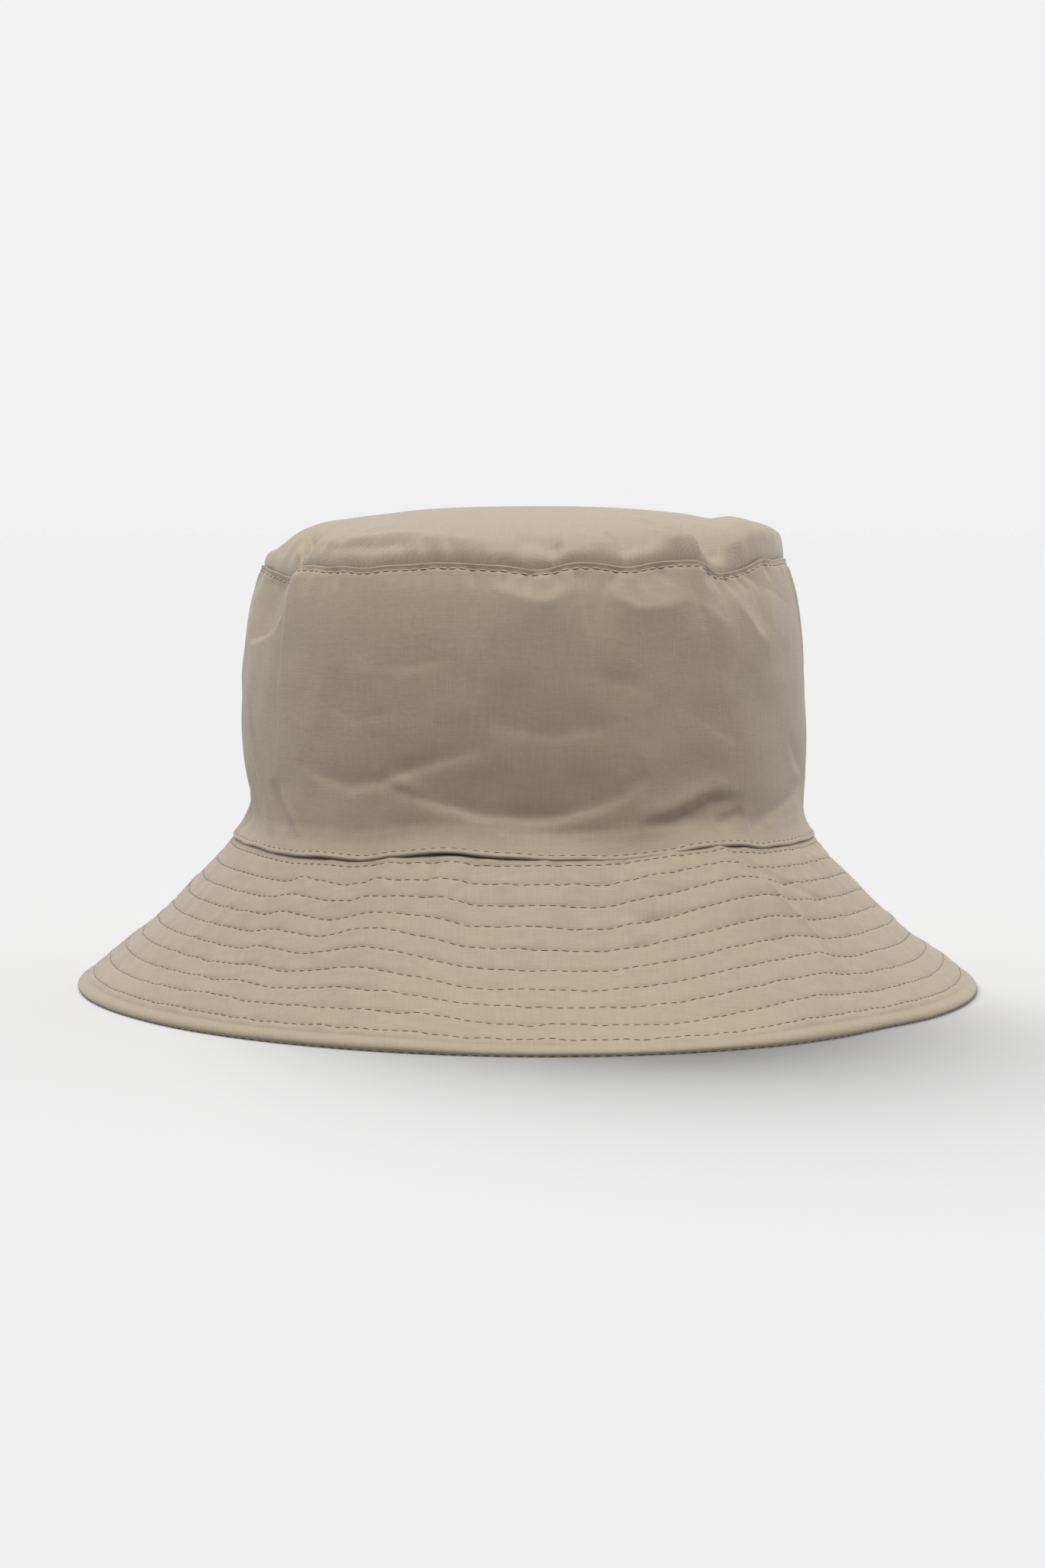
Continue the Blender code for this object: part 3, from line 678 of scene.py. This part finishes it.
def thread_row(seed, grid, row, pitch, length, radius, lift=0.0, face=1.0, dip=1.0):
    """Points and faces of a row of stitches: each is an arch of thread whose ends go into the cloth."""
    theta = np.linspace(0, 360, 2400, endpoint=False)
    line, _ = sample(grid, np.full(theta.shape, row), theta)
    around = np.concatenate([[0], np.cumsum(np.linalg.norm(np.roll(line, -1, 0) - line, axis=1))])
    theta = np.append(theta, 360.0)
    count = int(round(around[-1] / pitch))
    gen = np.random.default_rng(seed)
    rings, sides = 7, 6
    share = np.linspace(0, 1, rings)
    arch = np.sin(math.pi * share) ** 0.45
    thick = np.clip(np.sin(math.pi * (0.10 + 0.80 * share)) ** 0.6, 0.35, 1)
    turn = np.arange(sides) * 2 * math.pi / sides
    centre = (np.arange(count) + 0.5) * around[-1] / count + gen.normal(0, 0.025, count) * pitch
    size = length * (1 + gen.normal(0, 0.025, count))
    spots = (centre[:, None] + (share[None, :] - 0.5) * size[:, None]) % around[-1]
    angles = np.interp(spots, around, theta)
    wobble = gen.normal(0, 0.06, (count, 1)) + gen.normal(0, 0.05, (count, 1)) * (share - 0.5)[None,
        :] * 2
    point, normal = sample(grid, row + 0 * angles, angles)
    along = np.gradient(point, axis=1)
    along /= np.maximum(np.linalg.norm(along, axis=2, keepdims=True), 1e-9)
    across = np.cross(normal, along)
    height = face * (lift + radius * (0.75 - dip * 1.7 * (1 - arch)))
    spine = point + normal * height[None, :, None] + across * wobble[:, :, None] * radius * 2
    ringed = spine[:, :, None, :] + radius * thick[None, :, None, None] * (
        normal[:, :, None, :] * np.cos(turn)[None, None, :, None] + across[:, :, None,
            :] * np.sin(turn)[None, None, :, None])
    base = np.arange(rings * sides).reshape(rings, sides)
    one = []
    for i in range(rings - 1):
        for j in range(sides):
            k = (j + 1) % sides
            one.append([int(base[i, j]), int(base[i, k]), int(base[i + 1, k]), int(base[i + 1, j])])
    one += [[int(v) for v in base[0][::-1]], [int(v) for v in base[-1]]]
    faces = [[v + n * rings * sides for v in face_of] for n in range(count) for face_of in one]
    return ringed.reshape(-1, 3), faces


def stitches(name, rows, pitch, length, radius, material):
    """One piece of stitching. rows holds (grid, row, lift, face) for each face of the cloth that shows it."""
    points, faces = [], []
    for n, (grid, row, lift, face) in enumerate(rows):
        seed = sum(ord(c) for c in name) * 10 + n
        more, quads = thread_row(seed, grid, row, pitch, length, radius, lift, face)
        start = sum(len(p) for p in points)
        faces += [[v + start for v in q] for q in quads]
        points.append(more)
    mesh = bpy.data.meshes.new(name)
    mesh.from_pydata((np.concatenate(points) * METRE).tolist(), [], faces)
    return link_mesh(name, mesh, material)


# ---- materials
def nodes_of(name):
    material = bpy.data.materials.new(name)
    material.use_nodes = True
    tree = material.node_tree
    return material, tree, tree.nodes["Principled BSDF"]


def math_node(tree, operation, a, b=None, c=None):
    node = tree.nodes.new("ShaderNodeMath")
    node.operation = operation
    for i, value in enumerate((a, b, c)):
        if value is None:
            continue
        if isinstance(value, (int, float)):
            node.inputs[i].default_value = value
        else:
            tree.links.new(value, node.inputs[i])
    return node.outputs[0]


def set_inputs(node, **values):
    for name, value in values.items():
        node.inputs[name.replace("_", " ")].default_value = value


def noise_node(tree, vector, scale, detail=3.0, rough=0.5, stretch=(1, 1, 1)):
    mapping = tree.nodes.new("ShaderNodeMapping")
    mapping.inputs["Scale"].default_value = stretch
    tree.links.new(vector, mapping.inputs["Vector"])
    node = tree.nodes.new("ShaderNodeTexNoise")
    set_inputs(node, Scale=scale, Detail=detail, Roughness=rough)
    tree.links.new(mapping.outputs[0], node.inputs["Vector"])
    return node.outputs["Fac"]


def bump_node(tree, height, strength, distance):
    node = tree.nodes.new("ShaderNodeBump")
    set_inputs(node, Strength=strength, Distance=distance)
    tree.links.new(height, node.inputs["Height"])
    return node


def cloth_material(name, colour, pitch=0.00052, bump=0.6, roughness=0.5, sheen=0.25, contrast=0.20,
    twill=False):
    """Plain woven cloth: threads, slubs and cloudy shade in the colour, and the threads in the bump."""
    material, tree, shader = nodes_of(name)
    coordinates = tree.nodes.new("ShaderNodeTexCoord").outputs["UV"]
    split = tree.nodes.new("ShaderNodeSeparateXYZ")
    tree.links.new(coordinates, split.inputs[0])
    wave = 2 * math.pi / pitch

    def plus(a, b):
        return math_node(tree, "ADD", a, b)

    def times(a, b):
        return math_node(tree, "MULTIPLY", a, b)

    def centred(noise):
        return math_node(tree, "SUBTRACT", noise, 0.5)

    u, v = times(split.outputs[0], wave), times(split.outputs[1], wave)
    if twill:
        weave = times(math_node(tree, "SINE", plus(u, times(v, 0.9))), 0.8)
    else:
        over = times(math_node(tree, "SINE", u), math_node(tree, "SINE", v))
        weave = plus(over, times(math_node(tree, "COSINE", times(v, 2.0)), 0.35))
    weft = noise_node(tree, coordinates, 1.0, 2.0, 0.6, (90, 2600, 1))
    warp = noise_node(tree, coordinates, 1.0, 2.0, 0.6, (2600, 90, 1))
    cloud = noise_node(tree, coordinates, 28.0, 4.0, 0.6)
    slub = noise_node(tree, coordinates, 1.0, 2.0, 0.5, (260, 700, 1))
    threads = plus(centred(weft), centred(warp))
    shade = plus(times(threads, contrast * 1.6), times(weave, contrast * 0.35))
    shade = plus(shade, times(centred(cloud), contrast * 0.7))
    shade = plus(shade, times(centred(slub), contrast * 0.6))
    shade = plus(shade, 0.5)
    ramp = tree.nodes.new("ShaderNodeValToRGB")
    tree.links.new(shade, ramp.inputs[0])
    ramp.color_ramp.elements[0].color = (*[c * 0.62 for c in colour], 1)
    ramp.color_ramp.elements[1].color = (*[min(1.0, c * 1.38) for c in colour], 1)
    tree.links.new(ramp.outputs[0], shader.inputs["Base Color"])
    height = plus(times(weave, 0.5), times(threads, 1.2))
    fine = bump_node(tree, height, bump, 0.00012)
    crumple = noise_node(tree, coordinates, 95.0, 3.0, 0.55)
    coarse = bump_node(tree, crumple, 0.35, 0.0007)
    tree.links.new(fine.outputs[0], coarse.inputs["Normal"])
    tree.links.new(coarse.outputs[0], shader.inputs["Normal"])
    set_inputs(shader, Roughness=roughness, Sheen_Weight=sheen, Sheen_Roughness=0.45,
               Sheen_Tint=(1.0, 0.96, 0.9, 1.0), Specular_IOR_Level=0.5)
    return material


def thread_material(name, colour, roughness=0.5):
    """Twisted sewing thread."""
    material, tree, shader = nodes_of(name)
    position = tree.nodes.new("ShaderNodeTexCoord").outputs["Object"]
    fibre = noise_node(tree, position, 2600.0, 2.0, 0.6)
    ramp = tree.nodes.new("ShaderNodeValToRGB")
    ramp.color_ramp.elements[0].position = 0.25
    ramp.color_ramp.elements[1].position = 0.75
    ramp.color_ramp.elements[0].color = (*[c * 0.72 for c in colour], 1)
    ramp.color_ramp.elements[1].color = (*[min(1, c * 1.25) for c in colour], 1)
    tree.links.new(fibre, ramp.inputs[0])
    tree.links.new(ramp.outputs[0], shader.inputs["Base Color"])
    bump = bump_node(tree, fibre, 0.5, 0.0001)
    tree.links.new(bump.outputs[0], shader.inputs["Normal"])
    set_inputs(shader, Roughness=roughness, Sheen_Weight=0.2)
    return material


KHAKI = (0.395, 0.322, 0.229)
shell_cloth = cloth_material("shell_fabric", KHAKI)
under_cloth = cloth_material("underside_fabric", tuple(c * 0.95 for c in KHAKI), sheen=0.15,
    roughness=0.72)
lining_cloth = cloth_material("lining_fabric", tuple(c * 0.90 for c in KHAKI), pitch=0.0004, sheen=0.12,
    roughness=0.7)
band_cloth = cloth_material("sweatband_twill", tuple(c * 0.97 for c in KHAKI), pitch=0.0011, bump=0.8,
    roughness=0.85, twill=True)
canvas = cloth_material("stiffener_canvas", (0.72, 0.70, 0.64), pitch=0.0008, bump=0.6, roughness=0.9)
satin = cloth_material("label_satin", (0.78, 0.76, 0.70), pitch=0.0003, bump=0.2, roughness=0.42,
    sheen=0.3, contrast=0.05)
seam_thread = thread_material("seam_thread", (0.50, 0.42, 0.28))
brim_thread = thread_material("brim_thread", (0.150, 0.112, 0.052))
hem_thread = thread_material("hem_thread", (0.20, 0.155, 0.09))


# ---- build
def offset(grid, depth):
    return grid - normals_of(grid) * depth


def side_uv(grid):
    across = np.linalg.norm(np.roll(grid, -1, axis=1) - grid, axis=2)
    u = np.broadcast_to(np.cumsum(across.mean(0))[None, :], grid.shape[:2])
    down = np.linalg.norm(np.diff(grid, axis=0), axis=2).mean(1)
    v = np.concatenate([[0], np.cumsum(down)])
    return np.stack([u, spread(-v, THETA)], axis=2)


def cone_uv(grid):
    """Straight-grain cloth on a brim cut as two flat arcs."""
    r = np.hypot(grid[:, :, 0], grid[:, :, 1] / PLAN)
    r0 = r[0].mean()
    down = np.concatenate([[0], np.cumsum(np.linalg.norm(np.diff(grid, axis=0), axis=2).mean(1))])
    radius = 97.0 / 0.73 + down - (97.0 - r0)
    middle = np.where(THETA < 180, 90.0, 270.0)
    turn = np.radians((THETA - middle) * 0.73)
    return np.stack([radius[:, None] * np.sin(turn)[None, :], radius[:, None] * np.cos(turn)[None, :]],
        axis=2)


def lowest_near(out, reach_rows, reach_columns):
    low = out.copy()
    for _ in range(reach_columns):
        low = np.minimum(low, np.minimum(np.roll(low, 1, 1), np.roll(low, -1, 1)))
    for _ in range(reach_rows):
        up = np.vstack([low[:1], low[:-1]])
        down = np.vstack([low[1:], low[-1:]])
        low = np.minimum(low, np.minimum(up, down))
    return low


def soften(out, times):
    for _ in range(times):
        out = (np.roll(out, 1, 1) + 2 * out + np.roll(out, -1, 1)) / 4
        up = np.vstack([out[:1], out[:-1]])
        down = np.vstack([out[1:], out[-1:]])
        out = (up + 2 * out + down) / 4
    return out


heights = side_heights()
side_base, side_out = side_surface(THETA, heights)
side_grid = side_base + normals_of(side_base) * side_out[:, :, None]
side_coordinates = side_uv(side_base)

shares = np.concatenate([[0.004], np.linspace(0.02, 0.78, 30), np.linspace(0.79, 0.985, 26), [0.988,
    0.991, 0.994, 0.997, 0.9992]])
tip_base, tip_out = tip_surface(THETA, shares)
tip_grid = tip_base + normals_of(tip_base) * tip_out[:, :, None]
# the tip's edge is turned down inside the side panel, which laps over it
seam_r, seam_z = seam_ring(THETA)
angle = np.radians(THETA)
rolled = []
for dr, dz in [(-0.54, -0.9), (-0.65, -1.8), (-0.85, -3.0), (-1.15, -4.6)]:
    rr = seam_r + dr
    rolled.append(np.stack([rr * np.cos(angle), PLAN * rr * np.sin(angle), seam_z + dz], axis=1))
tip_grid = np.concatenate([tip_grid, np.array(rolled)])
tip_coordinates = tip_grid[:, :, :2].copy()

brim_steps = brim_distances()
brim_grid = brim_surface(THETA, brim_steps)
brim_coordinates = cone_uv(brim_grid)

HALVES = (("front", 180, 360), ("back", 0, 180))


def columns_of(uv, start, end):
    columns = np.arange(start * COLUMNS_PER_DEGREE, end * COLUMNS_PER_DEGREE + 1)
    return np.take(uv, columns % COLUMNS, axis=1)


def half_layer(name, outer, inner, uv, material, slot, node):
    """One half of a layer of cloth. HALVES gives its name and angles."""
    cloth = cloth_mesh(name + half, columns_between(outer, start, end), columns_between(inner, start,
        end),
                       columns_of(uv, start, end), material)
    return settle(cloth, "hat", slot, node + half)


settle(cloth_mesh("hat_tip", tip_grid, offset(tip_grid, CLOTH), tip_coordinates,
    shell_cloth, wrap=True, cap=True),
                           "hat", "shell_fabric", "crown_tip")
for half, start, end in HALVES:
    half_layer("hat_side_", side_grid, offset(side_grid, CLOTH), side_coordinates,
                                      shell_cloth, "shell_fabric", "crown_side_")
    half_layer("hat_brim_top_", brim_grid, offset(brim_grid, CLOTH),
        brim_coordinates,
                                      shell_cloth, "shell_fabric", "brim_top_")

# layers below the brim's top: stiffener, then the underside, whose edge goes into the hem's fold
STIFFENER_END = 56.0
UNDER_END = 64.4
STIFFENER_TOP, STIFFENER_BASE = 0.95, 1.35
UNDER_TOP, UNDER_BASE = 1.7, 2.2
stiff_steps = np.arange(0.0, STIFFENER_END, 1.0)
around_row = (-1.4, -0.6, 0, 0.6, 1.4, 3.2)
under_steps = np.array([0.0, 1.0] + sorted(d + k for d in ROWS for k in around_row if d + k < UNDER_END))
stiff_grid = brim_surface(THETA, stiff_steps, roll=False)
under_top = brim_surface(THETA, under_steps, roll=False)
under_grid = offset(under_top, UNDER_BASE)
for half, start, end in HALVES:
    half_layer("hat_stiffener_", offset(stiff_grid, STIFFENER_TOP), offset(stiff_grid, STIFFENER_BASE),
               cone_uv(stiff_grid), canvas, "stiffener_canvas", "brim_stiffener_")
    half_layer("hat_brim_under_", offset(under_top, UNDER_TOP), under_grid,
                                       cone_uv(under_top), under_cloth, "underside_fabric", "brim_under_")

# stitches
def row_at(value, values):
    order = np.argsort(values)
    return float(np.interp(value, np.asarray(values)[order], order.astype(float)))


def sew(name, rows, pitch, length, radius, material, slot, node):
    return settle(stitches(name, rows, pitch, length, radius, material), "hat", slot, node)


sew("stitch_tip_seam", [(side_grid, row_at(139.95, heights), 0.04, 1)], 3.3, 2.7, 0.22, seam_thread,
    "seam_thread", "tip_seam_stitching")
sew("stitch_crown_hem", [(side_grid, row_at(51.75, heights), 0, 1)], 3.4, 2.3, 0.11, hem_thread,
    "brim_thread", "crown_hem_stitching")
for k, d in enumerate(ROWS):
    faces_sewn = [(brim_grid, row_at(d, brim_steps), 0, 1)]
    if d < UNDER_END:
        faces_sewn.append((under_grid, row_at(d, under_steps), 0, -1))
    sew(f"stitch_brim_{k + 1:02d}", faces_sewn, 3.2, 2.6, 0.145, brim_thread, "brim_thread",
        f"brim_stitch_row_{k + 1:02d}")
sew("stitch_brim_edge", [(brim_grid, len(brim_steps) + 8.2, 0, 1)], 3.3, 2.7, 0.16, brim_thread,
    "brim_thread", "brim_edge_stitching")

# inside: lining, sweatband and labels
wall_heights = np.array(list(np.arange(139.6, 52.0, -2.2)) + [50.6])
wall_base, wall_out = side_surface(THETA, wall_heights)
wall_out = soften(lowest_near(wall_out, 2, 8) - 0.2, 6)
wall_out = np.minimum(wall_out, 0.6) * np.clip((spread(wall_heights, THETA) - 52) / 14, 0.1, 1)
wall_normal = normals_of(wall_base)
wall_uv = side_uv(wall_base)


def wall(depth):
    """The inside of the side panel, this deep below its face."""
    return wall_base + wall_normal * (wall_out - depth)[:, :, None]


for half, start, end in HALVES:
    half_layer("hat_side_lining_", wall(3.4), wall(3.8), wall_uv, lining_cloth, "lining_fabric",
        "side_lining_")
tip_in_shares = np.array([0.004] + list(np.linspace(0.03, 0.94, 44)))
ceiling_base, ceiling_out = tip_surface(THETA, tip_in_shares)
ceiling_out = np.minimum(soften(lowest_near(ceiling_out, 2, 4) - 0.2, 8), 0.8)
ceiling_normal = normals_of(ceiling_base)


def ceiling(depth):
    """The inside of the tip, this deep below its face."""
    return ceiling_base + ceiling_normal * (ceiling_out - depth)[:, :, None]


settle(cloth_mesh("hat_tip_lining", ceiling(3.2), ceiling(3.6), ceiling_base[:, :, :2], lining_cloth,
    wrap=True, cap=True),
       "hat", "lining_fabric", "tip_lining")

band_from = int(np.searchsorted(-wall_heights, -78.0))
band_rows = np.arange(band_from, len(wall_heights))
BAND_PUFF = 0.35


def puff(depth):
    """The sweatband's inner face, a little fuller between its edges."""
    swell = BAND_PUFF * np.sin(np.linspace(0, math.pi, len(band_rows))) ** 0.5
    return wall(depth)[band_rows] - wall_normal[band_rows] * swell[:, None, None]


settle(cloth_mesh("hat_sweatband", columns_between(wall(4.1)[band_rows], 90, 450),
    columns_between(puff(5.0), 90, 450),
                  columns_of(wall_uv[band_rows], 90, 450), band_cloth),
       "hat", "sweatband_twill", "sweatband")
sew("stitch_sweatband", [(puff(5.0), len(band_rows) - 2.3, 0, -1)], 3.0, 2.3, 0.18, seam_thread,
    "seam_thread", "sweatband_stitching")


def label_mesh(name, outer, inner, material):
    rows, cols = outer.shape[:2]
    down = np.concatenate([[0], np.cumsum(np.linalg.norm(np.diff(outer, axis=0), axis=2).mean(1))])
    across = np.concatenate([[0], np.cumsum(np.linalg.norm(np.diff(outer, axis=1), axis=2).mean(0))])
    uv = np.stack([np.broadcast_to(across[None, :], (rows, cols)), np.broadcast_to(-down[:, None], (rows,
        cols))], axis=2)
    return cloth_mesh(name, outer, inner, uv, material)


low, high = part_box("size_label")
inside_band = puff(5.3)
band_heights = inside_band[:, :, 2].mean(1)
label_low, label_high = low.z / METRE - 1.5, high.z / METRE + 1.5
label_rows = [i for i in range(len(band_rows)) if label_low < band_heights[i] < label_high]
label_cols = np.arange(round((90 - 13.0) * 2), round((90 + 13.0) * 2) + 1)
patch = np.take(inside_band[label_rows], label_cols, axis=1)
patch_in = np.take(puff(5.7)[label_rows], label_cols, axis=1)
settle(label_mesh("hat_size_label", patch, patch_in, satin), "hat", "label_satin", "size_label")

low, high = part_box("care_label")
rows_n, cols_n = 40, 24
drop = np.linspace(0, 1, rows_n)[:, None] * np.ones(cols_n)[None, :]
side_way = np.ones(rows_n)[:, None] * np.linspace(-0.5, 0.5, cols_n)[None, :]
length, width = (high.z - low.z) / METRE, (high.y - low.y) / METRE
curl = 1.6 * drop**2 + 0.5 * np.sin(side_way * 4 + 0.6) * drop
middle = (low.x + high.x) / 2 / METRE
front = np.stack([middle - 0.14 + curl, side_way * width, high.z / METRE - drop * length], axis=2)
care = settle(label_mesh("hat_care_label", front, front + np.array([0.28, 0, 0]), satin),
    "care_label_flap", "label_satin", "care_label")


for half, start, end in HALVES:
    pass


# ---- stage
BACKDROP = (0.876, 0.876, 0.876)
PAPER = (0.545, 0.545, 0.545)
HAT_SUN = ((0.0, -0.44, 1.0), 2.7, 30)
FLOOR_SUN = ((-0.38, 1.05, 1.0), 4.5, 42)
AIR_POWER = (0.13, 0.90)


def stage_material():
    """Pale paper, clear from below, so that views from there show the inside of the hat."""
    material, tree, shader = nodes_of("studio_paper")
    set_inputs(shader, Base_Color=(*PAPER, 1), Roughness=0.9, Specular_IOR_Level=0.0)
    clear = tree.nodes.new("ShaderNodeBsdfTransparent")
    below = tree.nodes.new("ShaderNodeMixShader")
    tree.links.new(tree.nodes.new("ShaderNodeNewGeometry").outputs["Backfacing"], below.inputs[0])
    tree.links.new(shader.outputs[0], below.inputs[1])
    tree.links.new(clear.outputs[0], below.inputs[2])
    tree.links.new(below.outputs[0], tree.nodes["Material Output"].inputs[0])
    return material


FLOOR_RADIUS, FLOOR_SIDES = 9, 96
mesh = bpy.data.meshes.new("studio_floor")
corners = [2 * math.pi * i / FLOOR_SIDES for i in range(FLOOR_SIDES)]
points = [(FLOOR_RADIUS * math.cos(a), FLOOR_RADIUS * math.sin(a), 0) for a in corners]
mesh.from_pydata(points, [], [list(range(FLOOR_SIDES))])
mesh.materials.append(stage_material())
floor = bpy.data.objects.new("studio_floor", mesh)
floor.visible_diffuse = False
floor.visible_shadow = False
bpy.context.scene.collection.objects.link(floor)
floor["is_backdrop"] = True


def sun_light(name, comes_from, power, spread_angle):
    data = bpy.data.lights.new(name, "SUN")
    data.energy = power
    data.angle = math.radians(spread_angle)
    obj = bpy.data.objects.new(name, data)
    obj.rotation_euler = Vector(comes_from).to_track_quat("Z", "Y").to_euler()
    bpy.context.scene.collection.objects.link(obj)
    return obj


def light_only(light, obj, state):
    """Light this object alone (INCLUDE), or everything but it (EXCLUDE)."""
    group = bpy.data.collections.new(light.name + "_group")
    group.objects.link(obj)
    light.light_linking.receiver_collection = group
    group.collection_objects[0].light_linking.link_state = state


light_only(sun_light("hat_softbox", *HAT_SUN), floor, "EXCLUDE")
light_only(sun_light("floor_softbox", *FLOOR_SUN), floor, "INCLUDE")


def studio_air():
    """Even backdrop for the camera. The air that lights the hat is dim in front and bright behind."""
    world = bpy.data.worlds.new("studio_air")
    world.use_nodes = True
    tree = world.node_tree
    seen = tree.nodes["Background"]
    seen.inputs[0].default_value = (*BACKDROP, 1)
    seen.inputs[1].default_value = 1.0
    direction = tree.nodes.new("ShaderNodeSeparateXYZ")
    tree.links.new(tree.nodes.new("ShaderNodeTexCoord").outputs["Generated"], direction.inputs[0])
    behind = tree.nodes.new("ShaderNodeMapRange")
    behind.interpolation_type = "SMOOTHSTEP"
    for i, value in enumerate((-0.9, 0.35, *AIR_POWER), 1):
        behind.inputs[i].default_value = value
    tree.links.new(direction.outputs["Y"], behind.inputs[0])
    lit = tree.nodes.new("ShaderNodeBackground")
    lit.inputs[0].default_value = (1, 1, 1, 1)
    tree.links.new(behind.outputs[0], lit.inputs[1])
    mix = tree.nodes.new("ShaderNodeMixShader")
    tree.links.new(tree.nodes.new("ShaderNodeLightPath").outputs["Is Camera Ray"], mix.inputs[0])
    tree.links.new(lit.outputs[0], mix.inputs[1])
    tree.links.new(seen.outputs[0], mix.inputs[2])
    tree.links.new(mix.outputs[0], tree.nodes["World Output"].inputs[0])
    return world


bpy.context.scene.world = studio_air()

camera_data = bpy.data.cameras.new("camera")
camera_data.lens = 83.8
camera_data.sensor_width = 36
camera = bpy.data.objects.new("camera", camera_data)
camera.location = (-0.0005, -1.230, 0.172)
aim = Vector((-0.0005, 0.0, 0.0671))
camera.rotation_euler = (aim - camera.location).to_track_quat("-Z", "Y").to_euler()
bpy.context.scene.collection.objects.link(camera)
bpy.context.scene.camera = camera
bpy.context.scene.view_settings.view_transform = "Standard"

low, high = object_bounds()
